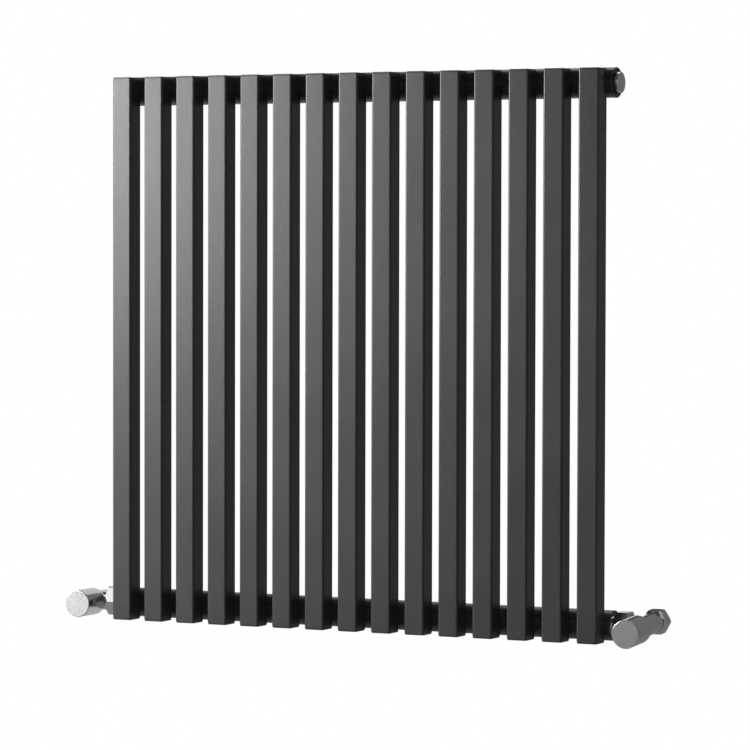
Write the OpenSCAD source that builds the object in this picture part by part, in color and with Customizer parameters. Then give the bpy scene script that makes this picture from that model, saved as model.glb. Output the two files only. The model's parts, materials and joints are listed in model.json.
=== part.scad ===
// Horizontal column radiator with a hand valve at each bottom end.
// Square steel columns stand on the front of two round headers. The radiator hangs on four wall
// sockets. X runs to the right, Y towards the wall and Z up. The origin is the middle of the four
// wall fixing holes, on the wall face.

/* [Columns] */
// Height of a column with its end caps
column_height = 600; // [420:10:900]
// Number of columns
column_count = 15; // [9:2:21]
// Distance from one column to the next
column_pitch = 40; // [34:1:60]
// Outside width of the square column tube
column_width = 23; // [19:0.5:28]
// Outside corner radius of the column tube
column_corner = 2; // [1.5:0.5:4]
// Wall of the column tube
column_wall = 1.5; // [1.2:0.1:2]
// Thickness of a column end cap
cap_thickness = 1.5; // [1:0.1:3]

/* [Headers] */
// Outside diameter of a header tube
header_d = 32; // [29:0.5:40]
// Wall of the header tube
header_wall = 1.5; // [1.2:0.1:2]
// How deep a header sits in the saddle cut in each column
saddle_depth = 1.5; // [0.5:0.1:3]
// Top header axis below the column tops
top_header_drop = 14.5; // [12:0.5:60]
// Bottom header axis above the column feet
bottom_header_rise = 17; // [14:0.5:60]
// Header overhang beyond the outer columns
header_overhang = 5; // [4:0.5:30]
// Diameter of each water port between a header and a column
port_d = 9; // [5:0.5:12]
// Length of the threaded boss welded in each header end
boss_length = 16; // [14:0.5:30]
// Bore of the boss, for a half inch pipe thread
boss_bore_d = 21; // [20.5:0.1:21.5]
// Depth of the boss face inside the header end
boss_recess = 1; // [0.5:0.1:2]

/* [Wall fixing] */
// Wall face to the back of the headers
wall_gap = 41.5; // [36:0.5:70]
// Columns counted in from each end to the fixing
fixing_column = 3; // [1:1:4]
// Outside diameter of a wall socket
socket_d = 22; // [21:0.5:26]
// Length of a wall socket
socket_length = 28; // [25:0.5:32]
// Base thickness of a wall socket
socket_base = 4; // [3:0.5:5]
// Diameter of a hanging stud
stud_d = 14; // [12:0.5:15]
// Diameter of the wall screw hole
screw_hole_d = 5.5; // [4.5:0.1:6.5]
// Diameter of a grub screw
grub_d = 5; // [4:0.5:6]

/* [Header plugs] */
// Diameter of a plug head
plug_head_d = 22.4; // [22:0.1:27]
// Thickness of a plug head
plug_head_t = 5; // [3.5:0.5:7]
// Length of a plug's thread
plug_thread_length = 11; // [8:0.5:14]
// Diameter of the bleed screw
bleed_d = 6; // [5:0.5:7]

/* [Valves] */
// Length of tail showing between a header end and the union nut
tail_gap = 4.5; // [3:0.5:30]
// Turn of the left valve about its union, front end down
left_tilt = 0; // [-10:1:10]
// Turn of the right valve about its union, front end down
right_tilt = 4; // [-10:1:10]
// Outside diameter of the valve barrel
barrel_d = 22; // [21:0.5:24]
// Outside diameter of the branch to the union
branch_d = 21.5; // [20:0.5:24]
// Diameter of the heating pipe that the valve takes
pipe_d = 15; // [14:0.5:15.5]
// Width across the flats of the compression nut
compression_flats = 25; // [24:0.5:28]
// Width across the flats of the union nut
union_flats = 30; // [29:0.5:34]
// Length of the union nut
union_nut_length = 14; // [13:0.5:16]
// Diameter of the valve seat's hole
seat_d = 10; // [8:0.5:11]
// Lift of the valve plug from closed to fully open
plug_lift = 4; // [3:0.5:4]

/* [Handles] */
// Diameter of a handle
handle_d = 30; // [29:0.5:36]
// Length of a handle
handle_length = 35; // [34:0.5:44]
// Wall of a handle
handle_wall = 2; // [1.5:0.1:2.2]
// Diameter of the spindle
spindle_d = 6; // [5.6:0.1:6.2]

/* [Hidden] */
$fn = 96;

// Cutters run past a face by cut, joined shapes run into each other by sink, and the two halves of
// a profile meet over join
cut = 1;
sink = 0.5;
join = 0.01;

// A hexagon's corner lies this many degrees from the middle of its flat
hex_half = 30;
nut_chamfer_angle = 30;
nut_face_share = 0.98;

// Clearances between pieces, on the radius
weld_gap = 0.05;
thread_gap = 0.05;
running_gap = 0.03;
slip_gap = 0.05;
seal_gap = 0.05;

paint = "dimgray";
chrome = "silver";
brass = "goldenrod";
black = "black";
zinc = "lightgray";

// Radiator places
columns_width = (column_count - 1) * column_pitch + column_width;
header_r = header_d / 2;
header_y = -(wall_gap + header_r);
header_inner_r = header_r - header_wall;
header_half = columns_width / 2 + header_overhang;
column_back_y = header_y - header_r + saddle_depth;
column_y = column_back_y - column_width / 2;
header_spacing = column_height - top_header_drop - bottom_header_rise;
top_z = header_spacing / 2;
bottom_z = -header_spacing / 2;
foot_z = bottom_z - bottom_header_rise;
fixing_x = ((column_count - 1) / 2 - (fixing_column - 1)) * column_pitch;
boss_face = header_half - boss_recess;
boss_bore_r = boss_bore_d / 2;
boss_thread_r = boss_bore_r - thread_gap;

// A cap is set back all round, which leaves a hairline seam
cap_setback = 0.3;

// Wall fixing places
socket_bore_r = stud_d / 2 + slip_gap;
stud_end_gap = 6;
grub_from_mouth = 7;
grub_y = -(socket_length - grub_from_mouth);
grub_projection = 0.3;

// Header plug places, measured outwards from the boss face
plug_ring_t = 1;
plug_face_x = plug_ring_t + plug_head_t;
plug_back_round = 0.3;
plug_front_round = 0.9;
o_ring_bulge = 0.8;
key_socket_depth = 2.6;
key_socket_x = plug_face_x - key_socket_depth;
key_socket_gap = 2;
bleed_seat_t = 2;
bleed_seat_x = bleed_seat_t - plug_thread_length;
bleed_key_share = 0.7;
bleed_key_length = 2;
bleed_stem_recess = 0.2;
spill_r = 0.8;
spill_skin = 0.4;

// Valve places, measured from the crossing of the barrel and union axes
union_outer_r = 13;
union_bore_r = union_outer_r + thread_gap;
handle_clearance = 0.5;
handle_back_y = -(union_flats / 2 + handle_clearance);
barrel_cover = 2.5;
barrel_front = handle_back_y - barrel_cover;
barrel_back = 28.5;
compression_thread_r = 10;
compression_mouth = 36;
compression_nut_gap = 0.5;
compression_nut_front = barrel_back + compression_nut_gap;
compression_nut_length = 14;
compression_nut_wall = 3;
pipe_stop = 22;
pipe_r = pipe_d / 2 + slip_gap;
olive_wall = 1.6;
olive_outer_r = pipe_r + olive_wall;
olive_taper = 1;
olive_depth = 3;
olive_length = 6;
branch_bore_r = 6;
passage_r = 6;
seat_y = 7;
seat_thickness = 2;
chamber_r = 8.5;
union_tuck = 1;
union_nut_near = handle_d / 2 - union_tuck;
union_nut_far = union_nut_near + union_nut_length;
union_nut_wall = 2.8;
union_thread_end = 6.8;
union_thread_inset = 0.4;
branch_end = union_nut_near + union_thread_end;
gasket_t = 1.2;
gasket_inset = 0.4;
gasket_bore_gap = 1;
tail_flange_t = 3;
tail_flange_gap = 0.4;
tail_r = 9.4;
tail_bore_r = 7;
valve_x = header_half + tail_gap + union_nut_far;
tail_shoulder = 3;
tail_thread_depth = 10;
tail_thread_start = union_nut_far + tail_gap - tail_shoulder;
tail_thread_end = union_nut_far + tail_gap + boss_recess + tail_thread_depth;

// Headwork places, at half lift
plug_travel = plug_lift / 2;
washer_overlap = 1.5;
washer_r = seat_d / 2 + washer_overlap;
washer_t = 2;
washer_y = seat_y - plug_travel - washer_t;
carrier_rim = 0.5;
carrier_disc_r = washer_r + carrier_rim;
carrier_disc_t = 2.5;
carrier_disc_y = washer_y - carrier_disc_t;
carrier_stem_flats = 8;
carrier_stem_length = 11;
carrier_stem_y = carrier_disc_y - carrier_stem_length;
carrier_end_wall = 1.5;
screw_r = 2.5;
screw_tip_gap = 4.1;
screw_tip_y = carrier_disc_y - screw_tip_gap;
collar_clearance = 0.5;
collar_y = carrier_stem_y - plug_travel - collar_clearance;
collar_t = 1.4;
collar_r = carrier_stem_flats / 2 - slip_gap;
guide_end_y = collar_y - collar_t - slip_gap;
guide_start_y = -7;
bonnet_flange_t = 5;
bonnet_flats = 20;
bonnet_neck_r = 6;
bonnet_projection = 15;
bonnet_end_y = barrel_front - bonnet_projection;
spindle_r = spindle_d / 2;
spindle_bore_r = spindle_r + running_gap;
ring_section_r = 0.8;
ring_centre_r = spindle_r + ring_section_r + seal_gap;
ring_groove_r = ring_centre_r + ring_section_r + seal_gap;
ring_depths = [2.6, 10];
ring_y = [for (depth = ring_depths) barrel_front - depth];
square_flats = 4;
square_standoff = 0.6;
square_start_y = bonnet_end_y - square_standoff;
square_length = 9;

// Handle places
handle_front_y = handle_back_y - handle_length;
handle_face_t = 3;
handle_r = handle_d / 2;
handle_cavity_r = handle_r - handle_wall;
handle_front_round = 0.8;
handle_back_round = 1.8;
insert_flange_t = 3;
insert_hub_r = 5.5;
insert_clearance = 1;
insert_hub_end_y = bonnet_end_y - insert_clearance;

SIDES = [-1, 1];
function side_name(side) = side < 0 ? "left" : "right";
function two_digits(i) = i < 10 ? str("0", i) : str(i);
function column_name(i) = str("column_", two_digits(i));
function column_x(i) = (i - (column_count + 1) / 2) * column_pitch;
function tilt(side) = side < 0 ? left_tilt : right_tilt;

VALVE_PIECES = ["tail", "union_gasket", "union_nut", "valve_body", "compression_nut", "olive",
    "bonnet", "spindle_o_rings", "spindle", "plug_carrier", "plug_washer", "handle",
    "handle_insert"];

// Shapes that repeat

module along_x(x0, x1, r) {
    translate([x0, 0, 0])
        rotate([0, 90, 0])
            cylinder(h = x1 - x0, r = r);
}

module along_y(y0, y1, r) {
    translate([0, y0, 0])
        rotate([-90, 0, 0])
            cylinder(h = y1 - y0, r = r);
}

// Hexagonal bar along Z, with two flats facing along Y
module hex_bar(length, flats) {
    cylinder(h = length, r = flats / 2 / cos(hex_half), $fn = 6);
}

// Hexagonal bar along Z whose end corners are turned off at an angle
module chamfered_hex(length, flats) {
    corner_r = flats / 2 / cos(hex_half);
    face_r = flats / 2 * nut_face_share;
    chamfer = (corner_r - face_r) * tan(nut_chamfer_angle);
    intersection() {
        hex_bar(length, flats);
        rotate_extrude()
            polygon([[0, 0], [face_r, 0], [corner_r, chamfer], [corner_r, length - chamfer],
                [face_r, length], [0, length]]);
    }
}

// Square with round corners, centred
module round_square(width, corner) {
    square([width, width - 2 * corner], center = true);
    square([width - 2 * corner, width], center = true);
    for (x = [-1, 1], y = [-1, 1])
        translate([x, y] * (width / 2 - corner))
            circle(r = corner);
}

// Disc along Z with its outer edges rounded by lower and upper radii
module rounded_disc(length, r, lower, upper) {
    rotate_extrude() {
        translate([0, lower])
            square([r, length - lower - upper]);
        square([r - lower, lower + join]);
        translate([0, length - upper - join])
            square([r - upper, upper + join]);
        intersection() {
            translate([r - lower, lower])
                circle(r = lower);
            square([r, lower + join]);
        }
        intersection() {
            translate([r - upper, length - upper])
                circle(r = upper);
            translate([0, length - upper - join])
                square([r, upper + join]);
        }
    }
}

// Columns

module column(i) {
    inner = column_width - 2 * column_wall;
    color(paint)
        translate([column_x(i), 0, 0])
            difference() {
                translate([0, column_y, foot_z + cap_thickness])
                    linear_extrude(column_height - 2 * cap_thickness)
                        difference() {
                            round_square(column_width, column_corner);
                            round_square(inner, column_corner - column_wall / 2);
                        }
                for (z = [bottom_z, top_z])
                    translate([0, header_y, z])
                        along_x(-column_width, column_width, header_r + weld_gap);
            }
}

module column_caps(z) {
    color(paint)
        for (i = [1 : column_count])
            translate([column_x(i), column_y, z])
                linear_extrude(cap_thickness)
                    round_square(column_width - 2 * cap_setback, column_corner - cap_setback);
}

// Headers

module header(z) {
    color(paint)
        difference() {
            translate([0, header_y, z])
                difference() {
                    along_x(-header_half, header_half, header_r);
                    along_x(-header_half - cut, header_half + cut, header_inner_r);
                }
            for (i = [1 : column_count])
                translate([column_x(i), 0, z])
                    along_y(column_back_y - saddle_depth - cut, header_y, port_d / 2);
        }
}

module boss(side, z) {
    color(paint)
        translate([0, header_y, z])
            mirror([side < 0 ? 1 : 0, 0, 0])
                difference() {
                    along_x(boss_face - boss_length, boss_face, header_inner_r - weld_gap);
                    along_x(boss_face - boss_length - cut, boss_face + cut, boss_bore_r);
                }
}

// Wall fixing

module at_fixings() {
    for (x = [-fixing_x, fixing_x], z = [bottom_z, top_z])
        translate([x, 0, z])
            children();
}

module hanging_studs() {
    color(paint)
        difference() {
            at_fixings()
                along_y(header_y, -socket_base - stud_end_gap, stud_d / 2);
            for (z = [bottom_z, top_z])
                translate([0, header_y, z])
                    along_x(-header_half, header_half, header_r + weld_gap);
        }
}

module wall_socket(x_side, z) {
    color(zinc)
        translate([x_side * fixing_x, 0, z])
            difference() {
                along_y(-socket_length, 0, socket_d / 2);
                along_y(-socket_length - cut, -socket_base, socket_bore_r);
                along_y(-socket_base - cut, cut, screw_hole_d / 2);
                translate([0, grub_y, -socket_d])
                    cylinder(h = socket_d, r = grub_d / 2 + thread_gap);
            }
}

module socket_grub_screws() {
    key_flats = grub_d / 2;
    length = socket_d / 2 - stud_d / 2 + grub_projection;
    key_depth = length / 2;
    color(zinc)
        at_fixings()
            translate([0, grub_y, -stud_d / 2 - length])
                difference() {
                    cylinder(h = length - thread_gap, r = grub_d / 2);
                    translate([0, 0, -cut])
                        hex_bar(key_depth + cut, key_flats);
                }
}

// Header plugs

module at_header_end(side) {
    translate([side * boss_face, header_y, top_z])
        mirror([side < 0 ? 1 : 0, 0, 0])
            children();
}

module plug(side) {
    at_header_end(side) {
        translate([plug_ring_t, 0, 0])
            rotate([0, 90, 0])
                rounded_disc(plug_head_t, plug_head_d / 2, plug_back_round, plug_front_round);
        along_x(-plug_thread_length, plug_ring_t + sink, boss_thread_r);
    }
}

module plug_o_ring(side) {
    color(black)
        at_header_end(side)
            difference() {
                along_x(seal_gap, plug_ring_t - seal_gap, plug_head_d / 2 + o_ring_bulge);
                along_x(-cut, plug_ring_t + cut, boss_thread_r + seal_gap);
            }
}

module blank_plug() {
    color(chrome)
        plug(1);
}

// The water leaves past the bleed screw's seat and down the spill hole in the head
module vent_plug() {
    color(chrome)
        difference() {
            plug(-1);
            at_header_end(-1) {
                along_x(-plug_thread_length - cut, 0, spill_r);
                along_x(bleed_seat_x, plug_face_x, bleed_d / 2 + running_gap);
                along_x(key_socket_x, plug_face_x + cut, bleed_d / 2 + key_socket_gap);
                translate([plug_ring_t + spill_r + spill_skin, 0, -plug_head_d])
                    cylinder(h = plug_head_d, r = spill_r);
            }
        }
}

module bleed_screw() {
    key_square = bleed_d * bleed_key_share;
    stem_end = key_socket_x - bleed_stem_recess;
    color(brass)
        at_header_end(-1) {
            along_x(bleed_seat_x + seal_gap, stem_end, bleed_d / 2);
            translate([stem_end - sink, -key_square / 2, -key_square / 2])
                cube([bleed_key_length + sink, key_square, key_square]);
        }
}

// Valves

module at_valve(side) {
    translate([side * valve_x, header_y, bottom_z])
        mirror([side < 0 ? 1 : 0, 0, 0])
            children();
}

module turned_valve(side) {
    at_valve(side)
        rotate([tilt(side), 0, 0])
            children();
}

module tail(side) {
    flange_x = -branch_end - gasket_t;
    thread_x = -tail_thread_start;
    color(chrome)
        at_valve(side)
            difference() {
                union() {
                    along_x(flange_x - tail_flange_t, flange_x, union_bore_r - tail_flange_gap);
                    along_x(thread_x, flange_x, tail_r);
                    along_x(-tail_thread_end, thread_x, boss_thread_r);
                }
                along_x(-tail_thread_end - cut, 0, tail_bore_r);
            }
}

module union_gasket(side) {
    color(black)
        at_valve(side)
            difference() {
                along_x(-branch_end - gasket_t, -branch_end, union_outer_r - gasket_inset);
                along_x(-branch_end - gasket_t - cut, -branch_end + cut, tail_bore_r + gasket_bore_gap);
            }
}

module union_nut(side) {
    color(chrome)
        at_valve(side)
            difference() {
                translate([-union_nut_far, 0, 0])
                    rotate([0, 90, 0])
                        rotate(hex_half)
                            chamfered_hex(union_nut_length, union_flats);
                along_x(-union_nut_far + union_nut_wall, 0, union_bore_r);
                along_x(-union_nut_far - cut, 0, tail_r + slip_gap);
            }
}

module valve_body(side) {
    color(chrome)
        turned_valve(side)
            difference() {
                union() {
                    along_y(barrel_front, barrel_back, barrel_d / 2);
                    along_y(0, compression_mouth, compression_thread_r);
                    along_x(-union_nut_near - union_thread_inset, 0, branch_d / 2);
                    along_x(-branch_end, -union_nut_near - union_thread_inset, union_outer_r);
                }
                along_y(pipe_stop, compression_mouth + cut, pipe_r);
                along_y(compression_mouth - olive_depth, compression_mouth + cut, olive_outer_r + slip_gap);
                along_y(seat_y, pipe_stop + cut, seat_d / 2);
                along_y(seat_y + seat_thickness, pipe_stop + cut, passage_r);
                along_y(barrel_front - cut, seat_y, chamber_r);
                along_x(-branch_end - cut, 0, branch_bore_r);
            }
}

module compression_nut(side) {
    nut_back = compression_nut_front + compression_nut_length;
    color(chrome)
        turned_valve(side)
            difference() {
                translate([0, compression_nut_front, 0])
                    rotate([-90, 0, 0])
                        chamfered_hex(compression_nut_length, compression_flats);
                along_y(0, nut_back - compression_nut_wall, compression_thread_r + thread_gap);
                along_y(0, nut_back + cut, pipe_r + slip_gap);
            }
}

module olive(side) {
    color(brass)
        turned_valve(side)
            translate([0, compression_mouth - olive_depth, 0])
                rotate([-90, 0, 0])
                    rotate_extrude()
                        polygon([[pipe_r, 0], [olive_outer_r - olive_taper, 0],
                            [olive_outer_r, olive_taper], [olive_outer_r, olive_length - olive_taper],
                            [olive_outer_r - olive_taper, olive_length], [pipe_r, olive_length]]);
}

module bonnet(side) {
    color(brass)
        turned_valve(side)
            difference() {
                union() {
                    along_y(barrel_front - sink, guide_start_y, chamber_r - thread_gap);
                    translate([0, barrel_front - slip_gap - bonnet_flange_t, 0])
                        rotate([-90, 0, 0])
                            hex_bar(bonnet_flange_t, bonnet_flats);
                    along_y(bonnet_end_y, barrel_front - sink, bonnet_neck_r);
                }
                translate([0, guide_end_y, 0])
                    rotate([-90, 0, 0])
                        hex_bar(-guide_end_y, carrier_stem_flats + 2 * slip_gap);
                along_y(bonnet_end_y - cut, 0, spindle_bore_r);
                for (y = ring_y)
                    translate([0, y, 0])
                        along_y(-ring_section_r - seal_gap, ring_section_r + seal_gap, ring_groove_r);
            }
}

module spindle_o_rings(side) {
    color(black)
        turned_valve(side)
            for (y = ring_y)
                translate([0, y, 0])
                    rotate([-90, 0, 0])
                        rotate_extrude()
                            translate([ring_centre_r, 0])
                                circle(r = ring_section_r);
}

module spindle(side) {
    color(brass)
        turned_valve(side) {
            along_y(square_start_y, collar_y - sink, spindle_r);
            along_y(collar_y - collar_t, collar_y, collar_r);
            along_y(collar_y - sink, screw_tip_y, screw_r);
            translate([-square_flats / 2, square_start_y - square_length, -square_flats / 2])
                cube([square_flats, square_length + sink, square_flats]);
        }
}

module plug_carrier(side) {
    bore_end_y = carrier_disc_y - carrier_end_wall;
    color(brass)
        turned_valve(side)
            difference() {
                union() {
                    along_y(carrier_disc_y, washer_y, carrier_disc_r);
                    translate([0, carrier_stem_y, 0])
                        rotate([-90, 0, 0])
                            hex_bar(carrier_stem_length + sink, carrier_stem_flats);
                }
                along_y(carrier_stem_y - cut, bore_end_y, screw_r + slip_gap);
            }
}

module plug_washer(side) {
    color(black)
        turned_valve(side)
            along_y(washer_y, washer_y + washer_t, washer_r);
}

module handle(side) {
    color(chrome)
        turned_valve(side)
            difference() {
                translate([0, handle_front_y, 0])
                    rotate([-90, 0, 0])
                        rounded_disc(handle_length, handle_r, handle_front_round, handle_back_round);
                along_y(handle_front_y + handle_face_t, handle_back_y + cut, handle_cavity_r);
            }
}

module handle_insert(side) {
    flange_y = handle_front_y + handle_face_t;
    hole = square_flats + 2 * slip_gap;
    color(black)
        turned_valve(side)
            difference() {
                union() {
                    along_y(flange_y, flange_y + insert_flange_t, handle_cavity_r - slip_gap);
                    along_y(flange_y, insert_hub_end_y, insert_hub_r);
                }
                translate([0, square_start_y - square_length / 2 - slip_gap, 0])
                    cube([hole, square_length + 2 * cut, hole], center = true);
                along_y(square_start_y, insert_hub_end_y + cut, spindle_r + slip_gap);
            }
}

for (i = [1 : column_count])
    column(i);
column_caps(foot_z + column_height - cap_thickness);  // column_top_caps
column_caps(foot_z);  // column_bottom_caps
header(top_z);  // top_header
header(bottom_z);  // bottom_header
boss(-1, top_z);  // top_left_boss
boss(1, top_z);  // top_right_boss
boss(-1, bottom_z);  // bottom_left_boss
boss(1, bottom_z);  // bottom_right_boss
hanging_studs();
wall_socket(-1, top_z);  // top_left_wall_socket
wall_socket(1, top_z);  // top_right_wall_socket
wall_socket(-1, bottom_z);  // bottom_left_wall_socket
wall_socket(1, bottom_z);  // bottom_right_wall_socket
socket_grub_screws();
blank_plug();
plug_o_ring(1);  // blank_plug_o_ring
vent_plug();
plug_o_ring(-1);  // vent_plug_o_ring
bleed_screw();
for (side = SIDES) {
    prefix = str(side_name(side), "_");
    tail(side);
    union_gasket(side);
    union_nut(side);
    valve_body(side);
    compression_nut(side);
    olive(side);
    bonnet(side);
    spindle_o_rings(side);
    spindle(side);
    plug_carrier(side);
    plug_washer(side);
    handle(side);
    handle_insert(side);
}
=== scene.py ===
import json
import math

import bmesh
import bpy
from mathutils import Matrix, Vector


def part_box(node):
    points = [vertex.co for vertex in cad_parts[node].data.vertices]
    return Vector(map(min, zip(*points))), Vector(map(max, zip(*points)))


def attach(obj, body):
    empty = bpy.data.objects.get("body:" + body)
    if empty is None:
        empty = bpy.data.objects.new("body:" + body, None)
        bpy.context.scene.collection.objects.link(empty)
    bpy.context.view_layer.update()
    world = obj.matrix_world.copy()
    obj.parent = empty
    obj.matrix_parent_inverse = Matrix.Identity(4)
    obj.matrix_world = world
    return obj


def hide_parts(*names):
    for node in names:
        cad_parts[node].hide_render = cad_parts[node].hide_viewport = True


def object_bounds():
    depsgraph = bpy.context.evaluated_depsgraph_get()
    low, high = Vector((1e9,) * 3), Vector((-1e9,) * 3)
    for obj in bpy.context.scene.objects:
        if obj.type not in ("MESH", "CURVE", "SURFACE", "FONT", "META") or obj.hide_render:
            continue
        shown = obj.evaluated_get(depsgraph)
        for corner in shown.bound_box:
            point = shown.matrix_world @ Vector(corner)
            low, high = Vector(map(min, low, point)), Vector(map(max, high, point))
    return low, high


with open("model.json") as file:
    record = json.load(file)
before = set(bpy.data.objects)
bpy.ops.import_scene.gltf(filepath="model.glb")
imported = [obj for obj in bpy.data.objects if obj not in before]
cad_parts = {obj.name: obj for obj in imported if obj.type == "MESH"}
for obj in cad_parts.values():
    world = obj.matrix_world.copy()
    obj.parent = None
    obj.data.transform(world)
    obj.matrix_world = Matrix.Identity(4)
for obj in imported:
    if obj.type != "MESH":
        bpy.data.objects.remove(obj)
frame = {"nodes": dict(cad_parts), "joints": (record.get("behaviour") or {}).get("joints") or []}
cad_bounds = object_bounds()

MM = 0.001
RADIATOR = "radiator"

# ---- Headers ----------------------------------------------------------------------------------
# The two headers are round mild steel tube, 32 mm across with a 1.5 mm wall. They are sawn square,
# the saw burr is rolled off each end, and they lie in the welding jig before anything else.


def soften(outline, steps=6):
    """The outline's points, with every corner that has a radius turned into an arc.
    A point is (distance along the axis, distance from the axis, corner radius)."""
    points = []
    count = len(outline)
    for i, (along, out, radius) in enumerate(outline):
        corner = Vector((along, out))
        to_last = Vector(outline[i - 1][:2]) - corner
        to_next = Vector(outline[(i + 1) % count][:2]) - corner
        if radius <= 0 or to_last.length < 1e-9 or to_next.length < 1e-9:
            points.append(corner)
            continue
        half = to_last.angle(to_next) / 2
        if half < 0.05 or half > 1.54:
            points.append(corner)
            continue
        reach = min(radius / math.tan(half), 0.48 * to_last.length, 0.48 * to_next.length)
        radius = reach * math.tan(half)
        middle = corner + (to_last.normalized() + to_next.normalized()).normalized() * radius / math.sin(half)
        first = corner + to_last.normalized() * reach - middle
        last = corner + to_next.normalized() * reach - middle
        for step in range(steps + 1):
            share = step / steps
            swing = first * (1 - share) + last * share
            points.append(middle + swing.normalized() * radius)
    return points


def turn(name, outline, start, axis, around=96, thread=None):
    """A turned piece: the outline in metres, spun about the axis that leaves start.
    An outline that starts and ends on the axis makes a solid, and any other makes a ring.
    thread is (from, to, pitch, depth), a screw thread cut between two distances along."""
    points = soften(outline)
    solid = points[0][1] < 1e-9 and points[-1][1] < 1e-9
    if thread:
        cut_from, cut_to, pitch, depth = thread
        crest = max(p[1] for p in points if cut_from - 1e-6 <= p[0] <= cut_to + 1e-6)
        finer = []
        for here, there in zip(points, points[1:] + points[:1]):
            finer.append(here)
            on_crest = min(here[1], there[1]) > crest - 1e-6
            if on_crest and min(here[0], there[0]) < cut_to and max(here[0], there[0]) > cut_from:
                slices = max(2, int(abs(there[0] - here[0]) / pitch * 10))
                finer += [here.lerp(there, n / slices) for n in range(1, slices)]
        points = finer
    spin = Vector(axis).to_track_quat("Z", "Y").to_matrix()
    made = bmesh.new()
    rings = []
    for along, out in points:
        if out < 1e-9:
            rings.append([made.verts.new(Vector(start) + spin @ Vector((0, 0, along)))])
            continue
        ring = []
        for n in range(around):
            angle = 2 * math.pi * n / around
            radius = out
            if thread and cut_from < along < cut_to and out > crest - 1e-6:
                phase = (along / pitch - n / around) % 1
                fade = min(1, (along - cut_from) / pitch, (cut_to - along) / pitch)
                radius -= depth * fade * abs(2 * phase - 1)
            spot = Vector((radius * math.cos(angle), radius * math.sin(angle), along))
            ring.append(made.verts.new(Vector(start) + spin @ spot))
        rings.append(ring)
    pairs = list(zip(rings, rings[1:])) + ([] if solid else [(rings[-1], rings[0])])
    for one, two in pairs:
        for n in range(around):
            after = (n + 1) % around
            corners = [one[n % len(one)], one[after % len(one)], two[after % len(two)], two[n % len(two)]]
            corners = [c for k, c in enumerate(corners) if c not in corners[:k]]
            if len(corners) > 2:
                made.faces.new(corners)
    return shell(name, made)


def shell(name, made):
    """The finished object of a bmesh, with its faces turned outwards and shaded as one surface."""
    bmesh.ops.recalc_face_normals(made, faces=made.faces)
    mesh = bpy.data.meshes.new(name)
    made.to_mesh(mesh)
    made.free()
    mesh.shade_smooth()
    mesh.set_sharp_from_angle(angle=math.radians(38))
    piece = bpy.data.objects.new(name, mesh)
    bpy.context.scene.collection.objects.link(piece)
    weighted = piece.modifiers.new("Weighted normals", "WEIGHTED_NORMAL")
    weighted.keep_sharp = True
    weighted.weight = 90
    return piece


def fit(piece, material, slot, body, *nodes):
    """Gives a piece its material, its place on a body and the CAD nodes that it stands for."""
    piece.data.materials.clear()
    piece.data.materials.append(material)
    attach(piece, body)
    if nodes:
        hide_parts(*nodes)


def effect(name, inputs, outputs):
    """A new shader node group with named inputs and outputs, as (group, its input node, its output node)."""
    group = bpy.data.node_groups.new(name, "ShaderNodeTree")
    for label, kind, value in inputs:
        socket = group.interface.new_socket(label, in_out="INPUT", socket_type=kind)
        if value is not None:
            socket.default_value = value
    for label, kind in outputs:
        group.interface.new_socket(label, in_out="OUTPUT", socket_type=kind)
    return group, group.nodes.new("NodeGroupInput"), group.nodes.new("NodeGroupOutput")


def wave_noise(tree, place, scale, detail, roughness=0.5):
    """A noise texture read at place, with its features scale to the metre."""
    noise = tree.nodes.new("ShaderNodeTexNoise")
    noise.inputs["Detail"].default_value = detail
    noise.inputs["Roughness"].default_value = roughness
    tree.links.new(place, noise.inputs["Vector"])
    if isinstance(scale, (int, float)):
        noise.inputs["Scale"].default_value = scale
    else:
        tree.links.new(scale, noise.inputs["Scale"])
    return noise.outputs["Fac"]


def spread(tree, value, low, high, to_low, to_high):
    """value taken from the range low to high and spread over to_low to to_high."""
    node = tree.nodes.new("ShaderNodeMapRange")
    labels = ("Value", "From Min", "From Max", "To Min", "To Max")
    for label, part in zip(labels, (value, low, high, to_low, to_high)):
        if isinstance(part, (int, float)):
            node.inputs[label].default_value = part
        else:
            tree.links.new(part, node.inputs[label])
    return node.outputs["Result"]


def sum_of(tree, kind, one, two):
    """One arithmetic step on two values."""
    node = tree.nodes.new("ShaderNodeMath")
    node.operation = kind
    for slot_number, part in enumerate((one, two)):
        if isinstance(part, (int, float)):
            node.inputs[slot_number].default_value = part
        else:
            tree.links.new(part, node.inputs[slot_number])
    return node.outputs["Value"]


def tint(tree, share, one, two):
    """A colour between two colours or colour sockets."""
    node = tree.nodes.new("ShaderNodeMix")
    node.data_type = "RGBA"
    tree.links.new(share, node.inputs["Factor"])
    for label, part in (("A", one), ("B", two)):
        socket = [s for s in node.inputs if s.name == label and s.type == "RGBA"][0]
        if isinstance(part, tuple):
            socket.default_value = (*part, 1)
        else:
            tree.links.new(part, socket)
    return [s for s in node.outputs if s.type == "RGBA"][0]


# The effects that several finishes share: worn edges, a fine skin, and the handling marks of a
# piece that has been held, wiped and fitted.
edge_wear, wear_in, wear_out = effect(
    "Worn edges",
    [("Width", "NodeSocketFloat", 0.0006), ("Patchiness", "NodeSocketFloat", 120.0)],
    [("Mask", "NodeSocketFloat")],
)
rounded = edge_wear.nodes.new("ShaderNodeBevel")
rounded.samples = 6
edge_wear.links.new(wear_in.outputs["Width"], rounded.inputs["Radius"])
true_face = edge_wear.nodes.new("ShaderNodeNewGeometry")
across = edge_wear.nodes.new("ShaderNodeVectorMath")
across.operation = "DOT_PRODUCT"
edge_wear.links.new(rounded.outputs["Normal"], across.inputs[0])
edge_wear.links.new(true_face.outputs["Normal"], across.inputs[1])
near_edge = spread(edge_wear, across.outputs["Value"], 0.995, 0.82, 0.0, 1.0)
where = edge_wear.nodes.new("ShaderNodeTexCoord").outputs["Object"]
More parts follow.
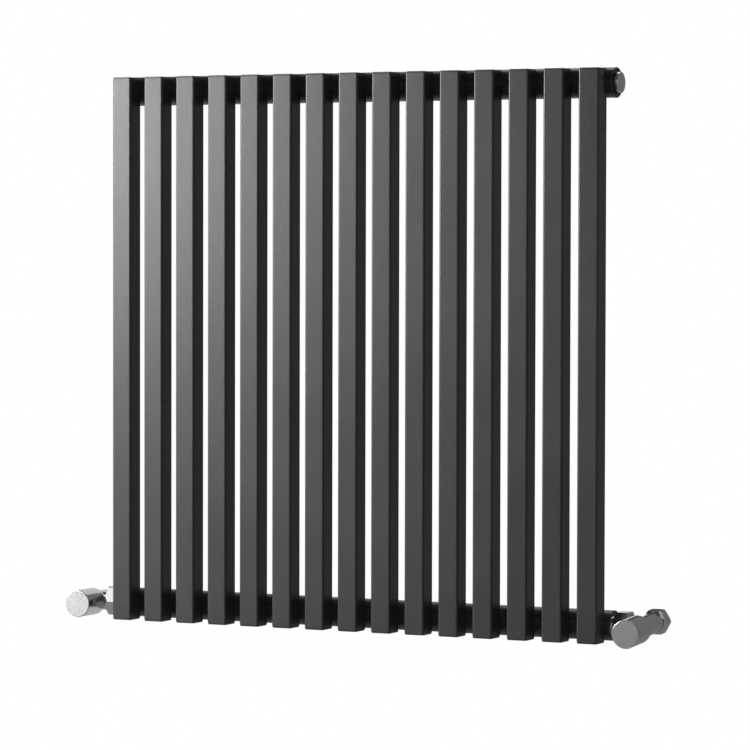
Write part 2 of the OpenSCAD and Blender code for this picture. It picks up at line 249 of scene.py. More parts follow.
patches = wave_noise(edge_wear, where, wear_in.outputs["Patchiness"], 4)
broken = spread(edge_wear, patches, 0.42, 0.62, 0.25, 1.0)
edge_wear.links.new(sum_of(edge_wear, "MULTIPLY", near_edge, broken), wear_out.inputs["Mask"])

skin, skin_in, skin_out = effect(
    "Fine skin",
    [
        ("Pitch", "NodeSocketFloat", 700.0),
        ("Grain", "NodeSocketFloat", 4000.0),
        ("Share of grain", "NodeSocketFloat", 0.2),
    ],
    [("Height", "NodeSocketFloat")],
)
where = skin.nodes.new("ShaderNodeTexCoord").outputs["Object"]
ripples = wave_noise(skin, where, skin_in.outputs["Pitch"], 1)
grains = wave_noise(skin, where, skin_in.outputs["Grain"], 2)
grains = sum_of(skin, "MULTIPLY", grains, skin_in.outputs["Share of grain"])
skin.links.new(sum_of(skin, "ADD", ripples, grains), skin_out.inputs["Height"])

handling, handling_in, handling_out = effect(
    "Handling marks",
    [
        ("Cloud size", "NodeSocketFloat", 14.0),
        ("Low", "NodeSocketFloat", 0.3),
        ("High", "NodeSocketFloat", 0.4),
    ],
    [("Value", "NodeSocketFloat"), ("Cloud", "NodeSocketFloat")],
)
where = handling.nodes.new("ShaderNodeTexCoord").outputs["Object"]
clouds = wave_noise(handling, where, handling_in.outputs["Cloud size"], 5, 0.6)
wipes = handling.nodes.new("ShaderNodeMapping")
wipes.inputs["Scale"].default_value = (1, 1, 0.12)
handling.links.new(where, wipes.inputs["Vector"])
streaks = wave_noise(handling, wipes.outputs["Vector"], 260, 3)
cloud_part = sum_of(handling, "MULTIPLY", clouds, 0.7)
streak_part = sum_of(handling, "MULTIPLY", streaks, 0.3)
mixed = sum_of(handling, "ADD", cloud_part, streak_part)
value = spread(handling, mixed, 0.35, 0.65, handling_in.outputs["Low"], handling_in.outputs["High"])
handling.links.new(value, handling_out.inputs["Value"])
handling.links.new(clouds, handling_out.inputs["Cloud"])


def finish(name, metallic=0.0, **sockets):
    """A material with a Principled shader, and its constants set on the shader's own sockets."""
    material = bpy.data.materials.new(name)
    material.use_nodes = True
    shader = material.node_tree.nodes["Principled BSDF"]
    shader.inputs["Metallic"].default_value = metallic
    for label, value in sockets.items():
        shader.inputs[label.replace("_", " ")].default_value = value
    return material, material.node_tree, shader


def add_effect(tree, group, **values):
    """A group node in a material, with its own values on the named inputs."""
    node = tree.nodes.new("ShaderNodeGroup")
    node.node_tree = group
    for label, value in values.items():
        node.inputs[label.replace("_", " ")].default_value = value
    return node


def add_bump(tree, shader, height, distance):
    """Lets a height drive the shader's normal."""
    bump = tree.nodes.new("ShaderNodeBump")
    bump.inputs["Distance"].default_value = distance
    bump.inputs["Strength"].default_value = 1.0
    tree.links.new(height, bump.inputs["Height"])
    tree.links.new(bump.outputs["Normal"], shader.inputs["Normal"])


def powder_coat():
    """Satin anthracite powder coat: a fine orange peel, a little cloudiness and thin, paler edges."""
    material, tree, shader = finish("anthracite_powder_coat", IOR=1.5)
    marks = add_effect(tree, handling, Cloud_size=9.0, Low=0.275, High=0.31)
    wear = add_effect(tree, edge_wear, Width=0.0005, Patchiness=35.0)
    peel = add_effect(tree, skin, Pitch=420.0, Grain=3600.0, Share_of_grain=0.12)
    cloud = spread(tree, marks.outputs["Cloud"], 0.3, 0.7, 0.0, 1.0)
    faint_wear = sum_of(tree, "MULTIPLY", wear.outputs["Mask"], 0.3)
    coat = tint(tree, cloud, (0.025, 0.0252, 0.0256), (0.031, 0.0312, 0.0316))
    coat = tint(tree, faint_wear, coat, (0.06, 0.0605, 0.0612))
    tree.links.new(coat, shader.inputs["Base Color"])
    tree.links.new(marks.outputs["Value"], shader.inputs["Roughness"])
    add_bump(tree, shader, peel.outputs["Height"], 0.00004)
    return material


paint = powder_coat()
PAINT_SLOT = "anthracite_paint"
HEADER_WALL = 1.5 * MM
HEADER_ROLL = 0.5 * MM
HEADERS = {}
for level in ("top", "bottom"):
    low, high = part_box(f"{level}_header")
    radius = (high[2] - low[2]) / 2
    inner_radius = radius - HEADER_WALL
    length = high[0] - low[0]
    header = {"y": (low[1] + high[1]) / 2, "z": (low[2] + high[2]) / 2, "radius": radius}
    HEADERS[level] = header
    tube = turn(
        f"{level}_header_tube",
        [
            (0, radius, HEADER_ROLL),
            (length, radius, HEADER_ROLL),
            (length, inner_radius, HEADER_ROLL),
            (0, inner_radius, HEADER_ROLL),
        ],
        (low[0], header["y"], header["z"]),
        (1, 0, 0),
        around=128,
    )
    fit(tube, paint, PAINT_SLOT, RADIATOR, f"{level}_header")

# ---- Columns ----------------------------------------------------------------------------------
# Fifteen lengths of welded square steel tube, 23 mm with 2 mm corners. A saddle is milled across
# the back of each at both header heights, so that the tube seats on the round header.


def square_ring(middle_x, middle_y, z, width, corner, steps=8):
    """The points round one level of a square tube with round corners."""
    half = width / 2 - corner
    points = []
    for quarter, (sx, sy) in enumerate(((1, 1), (-1, 1), (-1, -1), (1, -1))):
        for step in range(steps + 1):
            angle = math.pi / 2 * (quarter + step / steps)
            x = middle_x + sx * half + corner * math.cos(angle)
            y = middle_y + sy * half + corner * math.sin(angle)
            points.append(Vector((x, y, z)))
    return points


def skin_rings(made, rings, closed):
    """Faces between neighbouring rings of points. closed joins the last ring to the first."""
    made_rings = [[made.verts.new(p) for p in ring] for ring in rings]
    pairs = list(zip(made_rings, made_rings[1:])) + ([(made_rings[-1], made_rings[0])] if closed else [])
    for one, two in pairs:
        for n in range(len(one)):
            after = (n + 1) % len(one)
            made.faces.new((one[n], one[after], two[after], two[n]))
    return made_rings


def saddle(y, z, clear):
    """How far back a column's wall may reach at height z: up to the header that it sits on."""
    for header in HEADERS.values():
        rise = z - header["z"]
        if abs(rise) < header["radius"]:
            y = min(y, header["y"] - math.sqrt(header["radius"] ** 2 - rise**2) - clear)
    return y


COLUMN_COUNT = len([n for n in frame["nodes"] if n.startswith("column_") and n[-2:].isdigit()])
COLUMN_CORNER = 2 * MM
COLUMN_WALL = 1.5 * MM
TUBE_EDGE = 0.35 * MM
SADDLE_CLEAR = 0.1 * MM
SADDLE_SHARE = 0.5
COLUMNS = []
for number in range(1, COLUMN_COUNT + 1):
    low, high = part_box(f"column_{number:02d}")
    width = high[0] - low[0]
    middle = ((low[0] + high[0]) / 2, low[1] + width / 2)
    COLUMNS.append({"x": middle[0], "y": middle[1], "width": width})
    levels = [low[2] + TUBE_EDGE, high[2] - TUBE_EDGE]
    for header in HEADERS.values():
        levels += [header["z"] + header["radius"] * SADDLE_SHARE * n / 8 for n in range(-8, 9)]
    levels.sort()
    outer = [square_ring(*middle, low[2], width - 2 * TUBE_EDGE, COLUMN_CORNER)]
    for z in levels:
        ring = square_ring(*middle, z, width, COLUMN_CORNER)
        for point in ring:
            point.y = saddle(point.y, z, 0)
        outer.append(ring)
    outer.append(square_ring(*middle, high[2], width - 2 * TUBE_EDGE, COLUMN_CORNER))
    inner = []
    for z in [high[2]] + levels[::-1] + [low[2]]:
        ring = square_ring(*middle, z, width - 2 * COLUMN_WALL, COLUMN_CORNER - COLUMN_WALL / 2)
        for point in ring:
            point.y = saddle(point.y, z, SADDLE_CLEAR)
        inner.append(ring)
    made = bmesh.new()
    skin_rings(made, outer + inner, closed=True)
    fit(shell(f"column_{number:02d}_tube", made), paint, PAINT_SLOT, RADIATOR, f"column_{number:02d}")

# ---- Column end caps --------------------------------------------------------------------------
# A pressed steel plate closes each end of a column. It is welded on from the edge and linished
# back until only a hairline shows between the plate and the tube.
CAP_EDGE = 0.7 * MM
HAIRLINE = 0.1 * MM
CAP_STEPS = 6
for level in ("top", "bottom"):
    low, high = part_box(f"column_{level}_caps")
    plate = high[1] - low[1]
    made = bmesh.new()
    for column in COLUMNS:
        rings = []
        for z, inset in ((low[2], HAIRLINE), (low[2] + HAIRLINE, 0)):
            rings.append((z, inset) if level == "top" else (high[2] - (z - low[2]), inset))
        for step in range(CAP_STEPS + 1):
            angle = math.pi / 2 * step / CAP_STEPS
            rise = high[2] - low[2] - CAP_EDGE + CAP_EDGE * math.sin(angle)
            inset = CAP_EDGE * (1 - math.cos(angle))
            rings.append((low[2] + rise, inset) if level == "top" else (high[2] - rise, inset))
        points = []
        for z, inset in rings:
            points.append(square_ring(column["x"], column["y"], z, plate - 2 * inset, COLUMN_CORNER))
        made_rings = skin_rings(made, points, closed=False)
        made.faces.new(made_rings[0])
        made.faces.new(made_rings[-1])
    fit(shell(f"column_{level}_cap_plates", made), paint, PAINT_SLOT, RADIATOR, f"column_{level}_caps")

# ---- Welds ------------------------------------------------------------------------------------
# A bead of weld runs round the seat of every column on its header. Each bead has the ripple of
# the torch, and it is coated over with the rest.


def bead(made, path, radius, ripple, pitch, sides=8):
    """A closed bead along a loop of points, swollen and pinched at each ripple."""
    travelled = 0
    rings = []
    for n, here in enumerate(path):
        before, after = path[n - 1], path[(n + 1) % len(path)]
        ahead = (after - before).normalized()
        out = ahead.cross(Vector((0, 1, 0))).normalized()
        up = out.cross(ahead).normalized()
        travelled += (here - before).length
        swell = radius * (1 + ripple * abs(math.sin(math.pi * travelled / pitch)))
        ring = []
        for side in range(sides):
            angle = 2 * math.pi * side / sides
            ring.append(here + (out * math.cos(angle) + up * math.sin(angle)) * swell)
        rings.append(ring)
    skin_rings(made, rings, closed=True)


def seat_loop(centre_x, half_x, half_z, corner, header, side, count=72):
    """A loop on a header's surface, a rounded rectangle wide, seen from the front (-1) or back (1)."""
    loop = []
    for n in range(count):
        angle = 2 * math.pi * n / count
        c, s = math.cos(angle), math.sin(angle)
        x = math.copysign(abs(c) ** corner, c) * half_x
        z = math.copysign(abs(s) ** corner, s) * half_z
        y = header["y"] + side * math.sqrt(header["radius"] ** 2 - z**2)
        loop.append(Vector((centre_x + x, y, header["z"] + z)))
    return loop


SEAT_INSET = 0.9 * MM
SEAT_HALF_HEIGHT = 7.6 * MM
SEAT_ROUNDNESS = 0.45
BEAD_RADIUS = 1.15 * MM
BEAD_RIPPLE = 0.22
BEAD_PITCH = 1.9 * MM
for level, header in HEADERS.items():
    made = bmesh.new()
    for column in COLUMNS:
        half_x = column["width"] / 2 - SEAT_INSET
        loop = seat_loop(column["x"], half_x, SEAT_HALF_HEIGHT, SEAT_ROUNDNESS, header, -1)
        bead(made, loop, BEAD_RADIUS, BEAD_RIPPLE, BEAD_PITCH)
    fit(shell(f"{level}_header_welds", made), paint, PAINT_SLOT, RADIATOR)

# ---- Header bosses ----------------------------------------------------------------------------
# A turned steel ring with a half inch pipe thread is welded inside each header end, a little back
# from the lip. Its mouth is chamfered to lead the plug or tail in.
BOSS_BORE = 10.5 * MM
BOSS_CHAMFER = 0.6 * MM
for level in ("top", "bottom"):
    for side in ("left", "right"):
        node = f"{level}_{side}_boss"
        low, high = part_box(node)
        length = high[0] - low[0]
        outer = (high[2] - low[2]) / 2
        way = 1 if side == "right" else -1
        start = (low[0] if way > 0 else high[0], HEADERS[level]["y"], HEADERS[level]["z"])
        ring = turn(
            f"{node}_ring",
            [
                (0, outer, 0.3 * MM),
                (length, outer, 0.4 * MM),
                (length, BOSS_BORE + BOSS_CHAMFER, 0.1 * MM),
                (length - BOSS_CHAMFER, BOSS_BORE, 0.1 * MM),
                (0, BOSS_BORE, 0.3 * MM),
            ],
            start,
            (way, 0, 0),
        )
        fit(ring, paint, PAINT_SLOT, RADIATOR, node)

# ---- Hanging studs ----------------------------------------------------------------------------
# Four turned studs are welded to the backs of the headers. They slide into the wall sockets.
low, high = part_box("hanging_studs")
STUD_RADIUS = 7 * MM
STUD_SEAT = 0.88
STUD_BEAD_REACH = 7.5 * MM
STUD_BEAD_RADIUS = 1.2 * MM
stud_places = (low[0] + STUD_RADIUS, high[0] - STUD_RADIUS)
made_studs = bmesh.new()
made_beads = bmesh.new()
for x in stud_places:
    for header in HEADERS.values():
        seat = header["y"] + STUD_SEAT * header["radius"]
        length = high[1] - seat
        stud = turn(
            "stud",
            [(0, 0, 0), (0, STUD_RADIUS, 0), (length, STUD_RADIUS, 1 * MM), (length, 0, 0)],
            (x, seat, header["z"]),
            (0, 1, 0),
        )
        made_studs.from_mesh(stud.data)
        bpy.data.objects.remove(stud)
        loop = seat_loop(x, STUD_BEAD_REACH, STUD_BEAD_REACH, 1.0, header, 1)
        bead(made_beads, loop, STUD_BEAD_RADIUS, 0.2, 2 * MM)
fit(shell("hanging_stud_set", made_studs), paint, PAINT_SLOT, RADIATOR, "hanging_studs")
fit(shell("hanging_stud_welds", made_beads), paint, PAINT_SLOT, RADIATOR)

# ---- Wall sockets and grub screws -------------------------------------------------------------
# Each wall socket is a turned steel cup, zinc plated. One screw through its base holds it to the
# wall, and a grub screw from below locks the stud in it.


def zinc_plate():
    """Bright zinc plate: cloudy grey-blue metal with fine turning marks and rubbed edges."""
    material, tree, shader = finish("zinc_plate", metallic=1.0)
    marks = add_effect(tree, handling, Cloud_size=160.0, Low=0.28, High=0.42)
    wear = add_effect(tree, edge_wear, Width=0.0005, Patchiness=300.0)
    grain = add_effect(tree, skin, Pitch=2600.0, Grain=9000.0, Share_of_grain=0.4)
    colour = tint(tree, marks.outputs["Cloud"], (0.42, 0.44, 0.47), (0.62, 0.63, 0.63))
    colour = tint(tree, wear.outputs["Mask"], colour, (0.78, 0.78, 0.77))
    tree.links.new(colour, shader.inputs["Base Color"])
    tree.links.new(marks.outputs["Value"], shader.inputs["Roughness"])
    add_bump(tree, shader, grain.outputs["Height"], 0.00002)
    return material


def dress(node, material):
    """Gives a CAD piece that keeps its own mesh its material."""
    mesh = frame["nodes"][node].data
    mesh.materials.clear()
    mesh.materials.append(material)


zinc = zinc_plate()
SOCKET_BASE = 4 * MM
SCREW_HOLE = 2.75 * MM
STUD_GAP = 0.05 * MM
for level in ("top", "bottom"):
    for side in ("left", "right"):
        node = f"{level}_{side}_wall_socket"
        low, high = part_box(node)
        outer = (high[0] - low[0]) / 2
        depth = high[1] - low[1]
        bore = STUD_RADIUS + STUD_GAP
        cup = turn(
            f"{node}_cup",
            [
                (0, outer, 0.5 * MM),
                (depth, outer, 0.8 * MM),
                (depth, bore, 0.5 * MM),
                (SOCKET_BASE, bore, 0.4 * MM),
                (SOCKET_BASE, SCREW_HOLE, 0.2 * MM),
                (0, SCREW_HOLE, 0.2 * MM),
            ],
            ((low[0] + high[0]) / 2, high[1], (low[2] + high[2]) / 2),
            (0, -1, 0),
        )
        fit(cup, zinc, "zinc_plate", RADIATOR, node)
dress("socket_grub_screws", zinc)

# ---- Plugs and air vent -----------------------------------------------------------------------
# The top right end is closed with a round-headed blanking plug and the top left with a vent plug,
# both turned in brass and chromed. A square key turns the brass bleed screw in the vent plug.


def chrome_plate(name, smooth, dull):
    """Chrome over brass, with wiped smears between smooth and dull and the faintest orange peel."""
    material, tree, shader = finish(name, metallic=1.0)
    marks = add_effect(tree, handling, Cloud_size=60.0, Low=smooth, High=dull)
    wear = add_effect(tree, edge_wear, Width=0.0004, Patchiness=260.0)
    ripple = add_effect(tree, skin, Pitch=420.0, Grain=6000.0, Share_of_grain=0.05)
    cloud = spread(tree, marks.outputs["Cloud"], 0.3, 0.7, 0.0, 1.0)
    light_wear = sum_of(tree, "MULTIPLY", wear.outputs["Mask"], 0.6)
    colour = tint(tree, cloud, (0.62, 0.625, 0.63), (0.67, 0.672, 0.675))
    colour = tint(tree, light_wear, colour, (0.78, 0.78, 0.78))
    tree.links.new(colour, shader.inputs["Base Color"])
    tree.links.new(marks.outputs["Value"], shader.inputs["Roughness"])
    add_bump(tree, shader, ripple.outputs["Height"], 0.000012)
    return material


def bare_brass():
    """Machined brass: warm metal with tool marks, dulled unevenly where water has reached it."""
    material, tree, shader = finish("bare_brass", metallic=1.0)
    marks = add_effect(tree, handling, Cloud_size=180.0, Low=0.22, High=0.4)
    wear = add_effect(tree, edge_wear, Width=0.0004, Patchiness=400.0)
    cuts = add_effect(tree, skin, Pitch=3200.0, Grain=8000.0, Share_of_grain=0.5)
    colour = tint(tree, marks.outputs["Cloud"], (0.42, 0.28, 0.11), (0.72, 0.53, 0.24))
    colour = tint(tree, wear.outputs["Mask"], colour, (0.86, 0.68, 0.36))
    tree.links.new(colour, shader.inputs["Base Color"])
    tree.links.new(marks.outputs["Value"], shader.inputs["Roughness"])
    add_bump(tree, shader, cuts.outputs["Height"], 0.00002)
    return material


def seal_rubber():
    """Black nitrile rubber, matt with a grey bloom."""
    material, tree, shader = finish("seal_rubber", IOR=1.5)
    marks = add_effect(tree, handling, Cloud_size=220.0, Low=0.55, High=0.75)
    bloom = add_effect(tree, skin, Pitch=2200.0, Grain=9000.0, Share_of_grain=0.5)
    colour = tint(tree, marks.outputs["Cloud"], (0.012, 0.012, 0.012), (0.03, 0.03, 0.031))
    tree.links.new(colour, shader.inputs["Base Color"])
    tree.links.new(marks.outputs["Value"], shader.inputs["Roughness"])
    add_bump(tree, shader, bloom.outputs["Height"], 0.00002)
    return material


chrome = chrome_plate("chrome_plate", 0.09, 0.14)
brass = bare_brass()
rubber = seal_rubber()
PLUG_HEAD = 11.2 * MM
PLUG_HEAD_LENGTH = 5 * MM
THREAD_RADIUS = 10.4 * MM
THREAD_LEAD = 0.8 * MM
THREAD_PITCH = 1.81 * MM
PLUG_THREAD_DEPTH = 0.6 * MM
VENT_BORE = 3.03 * MM
KEY_SOCKET = 5 * MM
KEY_SOCKET_DEPTH = 2.6 * MM
RING_SIDES = 16
for side, name in (("right", "blank_plug"), ("left", "vent_plug")):
    low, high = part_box(name)
    way = 1 if side == "right" else -1
    header = HEADERS["top"]
    length = high[0] - low[0]
    thread_end = length - PLUG_HEAD_LENGTH
    start = (low[0] if way > 0 else high[0], header["y"], header["z"])
    outline = [
        (0, THREAD_RADIUS - THREAD_LEAD, 0),
        (THREAD_LEAD, THREAD_RADIUS, 0),
        (thread_end, THREAD_RADIUS, 0),
        (thread_end, PLUG_HEAD, 0.3 * MM),
        (length, PLUG_HEAD, 0.9 * MM),
    ]
    if name == "vent_plug":
        outline += [
            (length, KEY_SOCKET, 0.3 * MM),
            (length - KEY_SOCKET_DEPTH, KEY_SOCKET, 0.2 * MM),
            (length - KEY_SOCKET_DEPTH, VENT_BORE, 0.1 * MM),
            (0, VENT_BORE, 0.1 * MM),
        ]
    else:
        outline = [(0, 0, 0)] + outline + [(length, 0, 0)]
    screwed = (0, thread_end, THREAD_PITCH, PLUG_THREAD_DEPTH)
    plug = turn(f"{name}_head", outline, start, (way, 0, 0), thread=screwed)
    fit(plug, chrome, "chrome_plate", RADIATOR, name)
    low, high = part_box(f"{name}_o_ring")
    across_ring = (high[2] - low[2]) / 2
    section = (across_ring - BOSS_BORE) / 2
    width = (high[0] - low[0]) / 2
    oval = []
    for n in range(RING_SIDES):
        angle = 2 * math.pi * n / RING_SIDES
        along = width + width * math.cos(angle)
        oval.append((along, across_ring - section + section * math.sin(angle), 0))
    ring = turn(f"{name}_o_ring_seal", oval, (low[0], header["y"], header["z"]), (1, 0, 0))
    fit(ring, rubber, "seal_rubber", RADIATOR, f"{name}_o_ring")
dress("bleed_screw", brass)

# ---- Tails and union nuts ---------------------------------------------------------------------
# A tail screws into each bottom boss. Its flange is drawn against the valve by a union nut, so
# that the radiator comes off the wall without draining the pipes.


def hex_points(flats, corner, steps=5, edge=6):
    """The points round a hexagon with corners rounded by a small radius, at a given width across flats."""
    points = []
    apothem = flats / 2
    for side in range(6):
        facing = math.radians(60 * side)
        normal = Vector((math.cos(facing), math.sin(facing)))
        along = Vector((-normal.y, normal.x))
        half = apothem * math.tan(math.radians(30)) - corner * math.tan(math.radians(30))
        for n in range(edge + 1):
            points.append(normal * apothem + along * half * (2 * n / edge - 1))
        pivot = normal * (apothem - corner) + along * half
        for n in range(1, steps):
            angle = facing + math.radians(60) * n / steps
            points.append(pivot + Vector((math.cos(angle), math.sin(angle))) * corner)
    return points


NUT_FACE_SHARE = 0.97
NUT_CORNER = 0.35 * MM
NUT_CHAMFER = math.radians(30)
CORNERS_UP = math.radians(30)


def nut(name, length, flats, bores, start, axis):
    """A hexagon nut whose corners are turned off at each end. bores is the bore's outline, from the
    far end to the near end, as (distance along, radius) pairs."""
    spin = Vector(axis).to_track_quat("Z", "Y").to_matrix() @ Matrix.Rotation(CORNERS_UP, 3, "Z")
    face = flats / 2 * NUT_FACE_SHARE
    section = hex_points(flats, NUT_CORNER)
    rings = []
    for near in (True, False):
        faced = []
        turned = []
        for point in section:
            radius = point.length
            drop = max(0.0, radius - face) * math.tan(NUT_CHAMFER)
            flat_point = point.normalized() * face
            end = 0.0 if near else length
            level = drop if near else length - drop
            faced.append(Vector((*flat_point, end)))
            turned.append(Vector((*point, level)))
        rings += [faced, turned] if near else [turned, faced]
    for along, radius in bores:
        rings.append([Vector((*(point.normalized() * radius), along)) for point in section])
    made = bmesh.new()
    skin_rings(made, [[Vector(start) + spin @ point for point in ring] for ring in rings], closed=True)
    return shell(name, made)


JOINTS = {joint["name"]: joint for joint in frame["joints"]}
VALVES = {}
for side, way in (("left", -1), ("right", 1)):
    joint = JOINTS[f"{side}_handle_turn"]
    back = Vector(joint["axis"]).normalized()
    VALVES[side] = {"way": way, "centre": Vector(joint["pos_m"]), "back": back}
TAIL_NECK = 9.4 * MM
TAIL_NECK_LENGTH = 5.2 * MM
TAIL_FLANGE = 12.6 * MM
TAIL_FLANGE_LENGTH = 3 * MM
TAIL_BORE = 7 * MM
TAIL_THREAD_DEPTH = 0.7 * MM
UNION_BORE = 13.05 * MM
UNION_LIP = 2.8 * MM
UNION_LIP_BORE = 9.5 * MM
for side, valve in VALVES.items():
    way = valve["way"]
    header = HEADERS["bottom"]
    low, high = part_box(f"{side}_tail")
    length = high[0] - low[0]
    start = (low[0] if way > 0 else high[0], header["y"], header["z"])
    flange_from = length - TAIL_FLANGE_LENGTH
    neck_from = flange_from - TAIL_NECK_LENGTH
    tail = turn(
        f"{side}_tail_pipe",
        [
            (0, THREAD_RADIUS - THREAD_LEAD, 0),
            (THREAD_LEAD, THREAD_RADIUS, 0),
            (neck_from, THREAD_RADIUS, 0.3 * MM),
            (neck_from, TAIL_NECK, 0.3 * MM),
            (flange_from, TAIL_NECK, 0.5 * MM),
            (flange_from, TAIL_FLANGE, 0.3 * MM),
            (length, TAIL_FLANGE, 0.4 * MM),
            (length, TAIL_BORE, 0.4 * MM),
            (0, TAIL_BORE, 0.4 * MM),
        ],
        start,
        (way, 0, 0),
        thread=(0.2 * MM, neck_from - 0.6 * MM, THREAD_PITCH, TAIL_THREAD_DEPTH),
    )
    fit(tail, chrome, "chrome_plate", RADIATOR, f"{side}_tail")
    low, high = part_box(f"{side}_union_nut")
    length = high[0] - low[0]
    near = low[0] if way > 0 else high[0]
    union_nut = nut(
        f"{side}_union_nut_hex",
        length,
        high[2] - low[2],
        [(length, UNION_BORE), (UNION_LIP, UNION_BORE), (UNION_LIP, UNION_LIP_BORE), (0, UNION_LIP_BORE)],
        (near, header["y"], header["z"]),
        (way, 0, 0),
    )
    fit(union_nut, chrome, "chrome_plate", RADIATOR, f"{side}_union_nut")
    dress(f"{side}_union_gasket", rubber)

# ---- Valve bodies -----------------------------------------------------------------------------
# The body is a hot brass forging, machined at its three ends and chromed. The barrel runs from
# the headwork to the pipe, and the branch leaves it towards the radiator.
for side in VALVES:
    dress(f"{side}_valve_body", chrome)
    dress(f"{side}_bonnet", brass)
    dress(f"{side}_spindle", brass)
    dress(f"{side}_plug_carrier", brass)
    dress(f"{side}_plug_washer", rubber)
    dress(f"{side}_spindle_o_rings", rubber)
    dress(f"{side}_olive", brass)

# ---- Compression nuts -------------------------------------------------------------------------
# The nut at the back of each valve squeezes a brass olive onto the pipe from the wall.
PIPE_NUT_FROM = 29 * MM
PIPE_NUT_LENGTH = 14 * MM
PIPE_NUT_FLATS = 25 * MM
PIPE_NUT_BORE = 10.05 * MM
PIPE_HOLE = 7.6 * MM
PIPE_HOLE_LENGTH = 3 * MM
thread_to = PIPE_NUT_LENGTH - PIPE_HOLE_LENGTH
for side, valve in VALVES.items():
    pipe_nut = nut(
        f"{side}_compression_nut_hex",
        PIPE_NUT_LENGTH,
        PIPE_NUT_FLATS,
        [
            (PIPE_NUT_LENGTH, PIPE_HOLE),
            (thread_to, PIPE_HOLE),
            (thread_to, PIPE_NUT_BORE),
            (0, PIPE_NUT_BORE),
        ],
        valve["centre"] + valve["back"] * PIPE_NUT_FROM,
        valve["back"],
    )
    fit(pipe_nut, chrome, "chrome_plate", RADIATOR, f"{side}_compression_nut")

# ---- Handles ----------------------------------------------------------------------------------
# Each handle is a plain chromed cap, turned and left satin. It slides over the headwork, and a
# moulded insert inside it grips the square end of the spindle.


def insert_plastic():
    """Black moulded nylon with a fine spark-eroded grain."""
    material, tree, shader = finish("insert_plastic", IOR=1.52)
    marks = add_effect(tree, handling, Cloud_size=120.0, Low=0.42, High=0.58)
    grain = add_effect(tree, skin, Pitch=3600.0, Grain=9000.0, Share_of_grain=0.5)
    colour = tint(tree, marks.outputs["Cloud"], (0.014, 0.014, 0.015), (0.03, 0.03, 0.032))
    tree.links.new(colour, shader.inputs["Base Color"])
    tree.links.new(marks.outputs["Value"], shader.inputs["Roughness"])
    add_bump(tree, shader, grain.outputs["Height"], 0.00002)
    return material


nylon = insert_plastic()
satin_chrome = chrome_plate("satin_chrome_plate", 0.16, 0.2)
HANDLE_WALL = 2 * MM
HANDLE_FACE = 3 * MM
for side, valve in VALVES.items():
    mesh = frame["nodes"][f"{side}_handle"].data
    reach = [(v.co - valve["centre"]).dot(valve["back"]) for v in mesh.vertices]
    radius = max(((v.co - valve["centre"]) - valve["back"] * d).length for v, d in zip(mesh.vertices, reach))
    front, back = min(reach), max(reach)
    length = back - front
    cap = turn(
        f"{side}_handle_cap",
        [
            (0, 0, 0),
            (0, radius, 0.8 * MM),
            (length, radius, 1.8 * MM),
            (length, radius - HANDLE_WALL, 0.1 * MM),
            (HANDLE_FACE, radius - HANDLE_WALL, 0.5 * MM),
            (HANDLE_FACE, 0, 0),
        ],
        valve["centre"] + valve["back"] * front,
        valve["back"],
        around=128,
    )
    fit(cap, satin_chrome, "chrome_plate", f"{side}_handle", f"{side}_handle")
    dress(f"{side}_handle_insert", nylon)

# ---- Studio -----------------------------------------------------------------------------------
# A pale floor and a white surround. One wide softbox on the left lights the fronts, and dimmer
# cards around the radiator give the polished pieces and the corners something to reflect.


def soft_light(name, place, target, size, radiance):
    """A rectangular soft light at place, turned towards target, as bright as radiance all over.
    The camera doesn't see it, but polished pieces reflect it."""
    lamp = bpy.data.lights.new(name, "AREA")
    lamp.shape = "RECTANGLE"
    lamp.size, lamp.size_y = size
    lamp.energy = radiance * 4 * size[0] * size[1]
    holder = bpy.data.objects.new(name, lamp)
    holder.location = place
    holder.rotation_euler = (Vector(target) - Vector(place)).to_track_quat("-Z", "Y").to_euler()
    holder.visible_camera = False
    bpy.context.scene.collection.objects.link(holder)


scene = bpy.context.scene
scene.view_settings.view_transform = "Standard"
low, high = cad_bounds
FLOOR_DROP = 0.15
FLOOR_HALF_WIDTH = 12
floor_z = low[2] - FLOOR_DROP
made = bmesh.new()
bmesh.ops.create_grid(made, x_segments=8, y_segments=8, size=FLOOR_HALF_WIDTH)
bmesh.ops.translate(made, verts=made.verts, vec=(0, 0, floor_z))
floor = shell("studio_floor", made)
floor_paint, tree, shader = finish("pale_floor")
marks = add_effect(tree, handling, Cloud_size=0.8, Low=0.7, High=0.8)
colour = tint(tree, marks.outputs["Cloud"], (0.44, 0.44, 0.44), (0.5, 0.5, 0.5))
tree.links.new(colour, shader.inputs["Base Color"])
tree.links.new(marks.outputs["Value"], shader.inputs["Roughness"])
backlit = tree.nodes.new("ShaderNodeEmission")
backlit.inputs["Color"].default_value = (1, 1, 1, 1)
backlit.inputs["Strength"].default_value = 1.0
eyes = tree.nodes.new("ShaderNodeLightPath")
seen_floor = tree.nodes.new("ShaderNodeMixShader")
tree.links.new(eyes.outputs["Is Camera Ray"], seen_floor.inputs["Fac"])
tree.links.new(shader.outputs["BSDF"], seen_floor.inputs[1])
tree.links.new(backlit.outputs["Emission"], seen_floor.inputs[2])
tree.links.new(seen_floor.outputs["Shader"], tree.nodes["Material Output"].inputs["Surface"])
floor.data.materials.append(floor_paint)

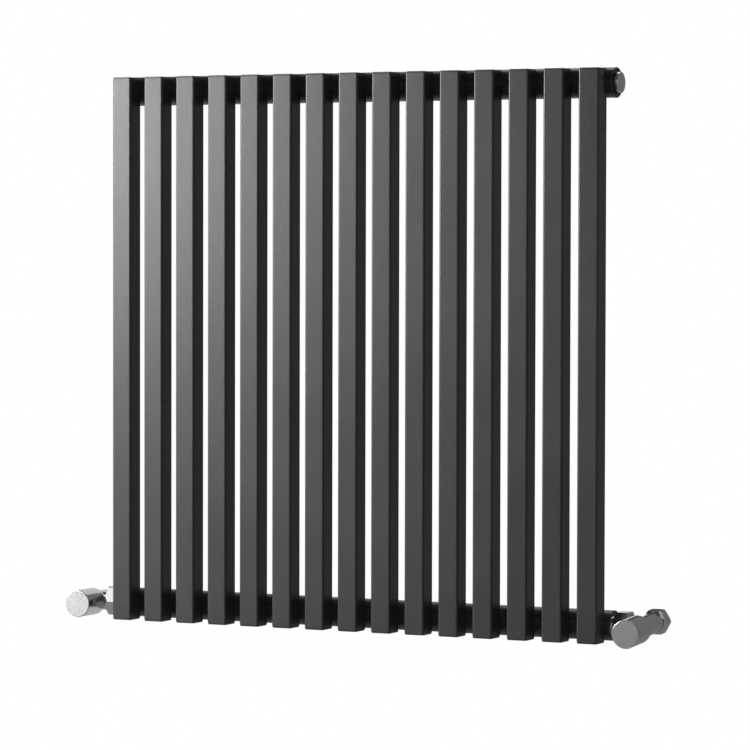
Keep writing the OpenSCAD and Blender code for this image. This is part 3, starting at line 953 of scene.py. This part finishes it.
world = bpy.data.worlds.new("surround")
scene.world = world
world.use_nodes = True
tree = world.node_tree
tree.nodes.clear()
seen = tree.nodes.new("ShaderNodeBackground")
seen.inputs["Color"].default_value = (1, 1, 1, 1)
seen.inputs["Strength"].default_value = 1.0
lit = tree.nodes.new("ShaderNodeBackground")
lit.inputs["Color"].default_value = (1, 1, 1, 1)
lit.inputs["Strength"].default_value = 0.075
path = tree.nodes.new("ShaderNodeLightPath")
either = tree.nodes.new("ShaderNodeMixShader")
tree.links.new(path.outputs["Is Camera Ray"], either.inputs["Fac"])
tree.links.new(lit.outputs["Background"], either.inputs[1])
tree.links.new(seen.outputs["Background"], either.inputs[2])
tree.links.new(either.outputs["Shader"], tree.nodes.new("ShaderNodeOutputWorld").inputs["Surface"])

soft_light("key_softbox", (-3.0, -2.67, 0.53), (0, 0, 0), (2.5, 0.95), 17.2)
soft_light("back_left_card", (-0.95, 0.95, 0.35), (-0.85, 0, 0.25), (1.6, 1.7), 0.5)
soft_light("back_right_card", (0.95, 1.5, 0.5), (0.55, 0, 0.1), (2.3, 2.2), 0.09)
soft_light("front_card", (1.1, -3.0, 0.7), (0, 0, 0), (2.2, 2.0), 0.5)
soft_light("right_card", (2.9, -0.6, 0.4), (0, 0, 0), (1.6, 1.8), 0.35)
soft_light("high_left_card", (-1.4, -1.0, 1.3), (-0.3, 0, -0.28), (0.7, 0.7), 1.0)
soft_light("high_back_card", (0.2, 1.1, 1.9), (0, 0, 0), (2.2, 1.2), 1.2)
FLOOR_CARD_RISE = 0.01
soft_light("floor_card", (-0.6, 0.6, floor_z + FLOOR_CARD_RISE), (-0.6, 0.6, 1), (0.9, 1.0), 0.2)

eye = Vector((1.8421, -3.7152, 0.1079))
yaw, dip, roll = math.radians(26.547), math.radians(1.875), math.radians(0.129)
lens = bpy.data.cameras.new("camera")
lens.sensor_width = 36
lens.lens = 181.86
lens.clip_end = 60
camera = bpy.data.objects.new("camera", lens)
aimed = Matrix.Rotation(yaw, 3, "Z") @ Matrix.Rotation(math.pi / 2 - dip, 3, "X")
rolled = aimed @ Matrix.Rotation(roll, 3, "Z")
camera.matrix_world = Matrix.Translation(eye) @ rolled.to_4x4()
scene.collection.objects.link(camera)
scene.camera = camera
